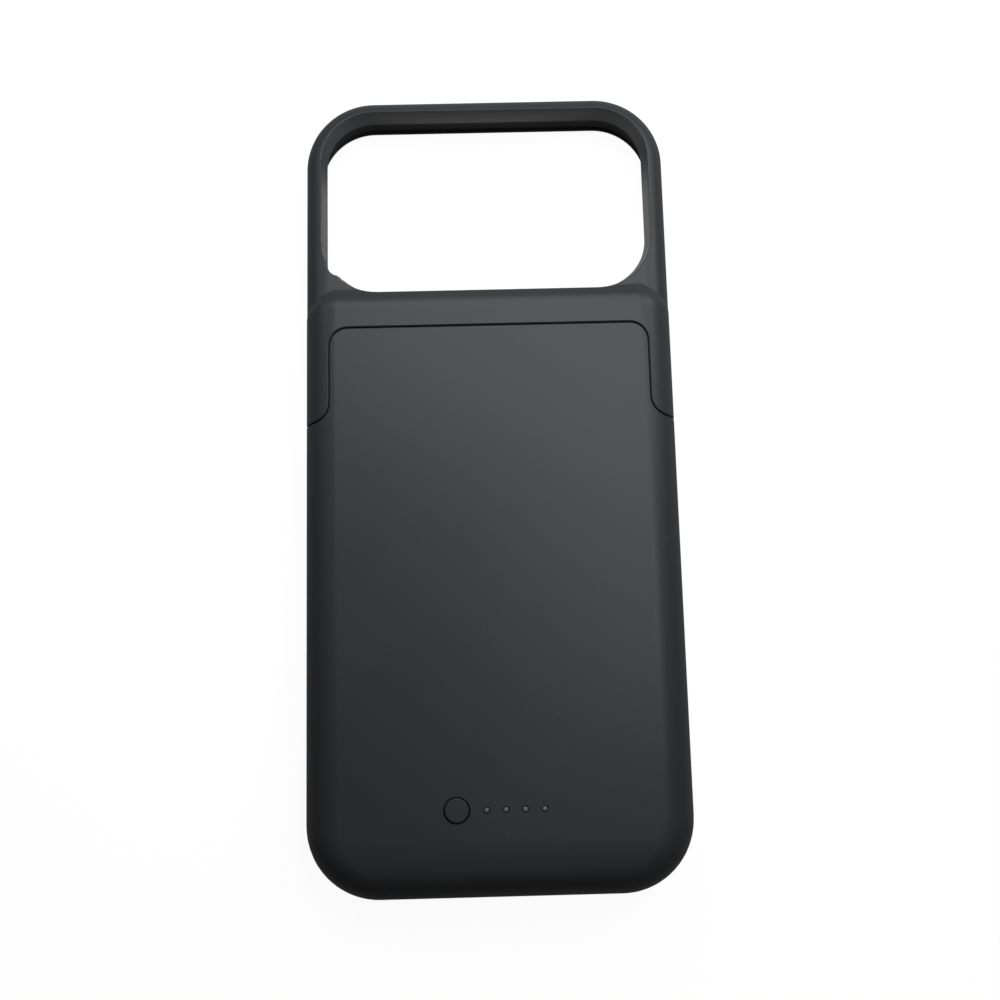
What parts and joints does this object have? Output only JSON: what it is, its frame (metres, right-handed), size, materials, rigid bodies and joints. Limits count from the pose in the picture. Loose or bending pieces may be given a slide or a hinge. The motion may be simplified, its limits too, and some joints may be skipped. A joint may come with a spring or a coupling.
{
  "type": "phone battery case",
  "caption": "Slim matte case that holds a large phone, with a battery behind it, a plug in the chin, a frame round the camera window that slides off, a round button and charge lamps.",
  "frame": {"origin": "centre of the case in plan, on the plane of the open front rim that it lies on", "axes": "+Z out of the back, +Y to the camera end, +X right when the back is seen"},
  "size_m": [0.083, 0.1802, 0.0173],
  "materials": {
    "soft_touch_shell": "fine matte soft-touch coat",
    "tray_plastic": "fine matte moulding",
    "pouch_foil": "dull laminated foil",
    "foam_pad": "closed-cell foam",
    "lead_red": "smooth insulation",
    "lead_black": "smooth insulation",
    "circuit_board": "solder mask",
    "screw_steel": "zinc plated",
    "chip_epoxy": "moulded epoxy",
    "inductor_core": "pressed iron powder",
    "capacitor_ceramic": "fired ceramic",
    "lamp_resin": "clear resin",
    "guide_resin": "milky clear resin",
    "button_plastic": "fine matte soft-touch coat",
    "switch_steel": "stamped and plated",
    "switch_stem": "moulded nylon",
    "flex_film": "amber film",
    "connector_steel": "drawn and plated",
    "connector_core": "moulded insulator",
    "contact_gold": "plated contacts"
  },
  "bodies": {
    "case": {"lower_shell": "soft_touch_shell", "inner_tray": "tray_plastic", "battery_pouch": "pouch_foil", "battery_pad": "foam_pad", "battery_lead_positive": "lead_red", "battery_lead_negative": "lead_black", "main_board": "circuit_board", "main_board_screws": "screw_steel", "charge_controller": "chip_epoxy", "boost_inductor": "inductor_core", "ceramic_capacitors": "capacitor_ceramic", "indicator_leds": "lamp_resin", "light_guide": "guide_resin", "switch_body": "switch_steel", "connector_board": "circuit_board", "connector_board_screws": "screw_steel", "board_flex": "flex_film", "phone_plug_shell": "connector_steel", "phone_plug_insulator": "connector_core", "phone_plug_contacts": "contact_gold", "phone_plug_holder": "tray_plastic", "charge_port_shell": "connector_steel", "charge_port_tongue": "connector_core", "charge_port_contacts": "contact_gold"},
    "frame": {"upper_frame": "soft_touch_shell"},
    "button": {"power_button": "button_plastic", "switch_plunger": "switch_stem"}
  },
  "joints": [
    {"name": "frame_slide", "type": "slide", "parent": "case", "child": "frame", "axis": [0, 1, 0], "range_m": [0, 0.03]},
    {"name": "button_press", "type": "slide", "parent": "case", "child": "button", "axis": [0, 0, -1], "range_m": [0, 0.0004], "stiffness_N_per_m": 2000}
  ]
}
